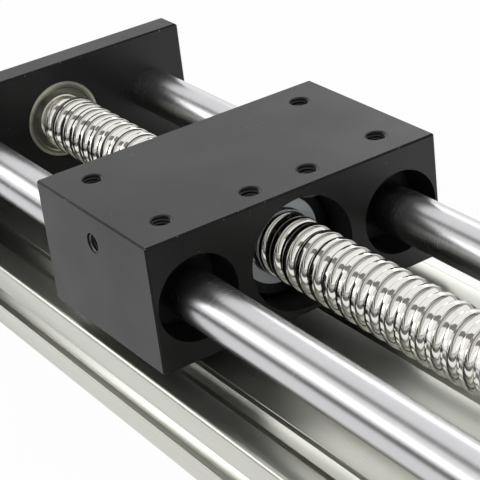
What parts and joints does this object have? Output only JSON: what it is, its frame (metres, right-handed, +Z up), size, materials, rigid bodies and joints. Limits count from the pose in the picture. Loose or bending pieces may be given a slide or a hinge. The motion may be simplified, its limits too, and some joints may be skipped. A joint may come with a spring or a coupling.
{
  "type": "ball screw linear module",
  "caption": "Linear module: a ball screw and two guide shafts carry a black block with tapped holes along a T-slot base, with bearing end plates, a jaw coupling and a motor plate.",
  "frame": {"origin": "centre of the base extrusion's underside, midway between the two end plates", "axes": "+X across the module, +Y along the screw towards the idle end plate, +Z up from the base to the carriage"},
  "size_m": [0.08, 0.346, 0.07],
  "materials": {
    "black_anodised": "matt black anodised",
    "silver_anodised": "satin silver anodised",
    "shaft_steel": "hardened and ground",
    "screw_steel": "polished",
    "bearing_steel": "fine ground",
    "plain_steel": "turned",
    "spring_steel": "phosphated",
    "fastener_steel": "black oxide",
    "white_plastic": "smooth",
    "black_plastic": "moulded",
    "seal_rubber": "smooth",
    "spider_rubber": "smooth polyurethane",
    "coupling_aluminium": "turned"
  },
  "bodies": {
    "base": {"base_extrusion": "silver_anodised", "idle_end_plate": "black_anodised", "drive_end_plate": "black_anodised", "guide_shaft_left": "shaft_steel", "guide_shaft_right": "shaft_steel", "end_plate_screws": "fastener_steel", "shaft_clamp_screws": "fastener_steel", "idle_bearing_outer_ring": "bearing_steel", "idle_bearing_shields": "bearing_steel", "drive_bearing_outer_rings": "bearing_steel", "bearing_cover": "black_anodised", "cover_screws": "fastener_steel", "standoffs": "silver_anodised", "motor_plate": "black_anodised", "motor_plate_screws": "fastener_steel"},
    "screw": {"ball_screw": "screw_steel", "idle_bearing_inner_ring": "bearing_steel", "idle_circlip": "spring_steel", "drive_bearing_inner_rings": "bearing_steel", "spacer_collar": "plain_steel", "lock_nut": "spring_steel", "coupling_screw_hub": "coupling_aluminium", "coupling_motor_hub": "coupling_aluminium", "coupling_spider": "spider_rubber", "coupling_set_screws": "fastener_steel"},
    "carriage": {"carriage_block": "black_anodised", "ball_nut": "plain_steel", "nut_wiper_front": "white_plastic", "nut_wiper_rear": "white_plastic", "nut_set_screws": "fastener_steel", "linear_bearing_sleeve_left": "bearing_steel", "linear_bearing_sleeve_right": "bearing_steel", "ball_retainer_left": "black_plastic", "ball_retainer_right": "black_plastic", "bearing_seals_left": "seal_rubber", "bearing_seals_right": "seal_rubber"}
  },
  "joints": [
    {"name": "screw_spin", "type": "hinge", "parent": "base", "child": "screw", "pos_m": [0, 0, 0.04], "axis": [0, 1, 0], "range_deg": [-4284, 10116]},
    {"name": "carriage_slide", "type": "slide", "parent": "base", "child": "carriage", "axis": [0, 1, 0], "range_m": [-0.1405, 0.0595]}
  ],
  "couplings": [
    {"joint": "screw_spin", "follows": "carriage_slide", "rad_per_m": -1256.6}
  ]
}
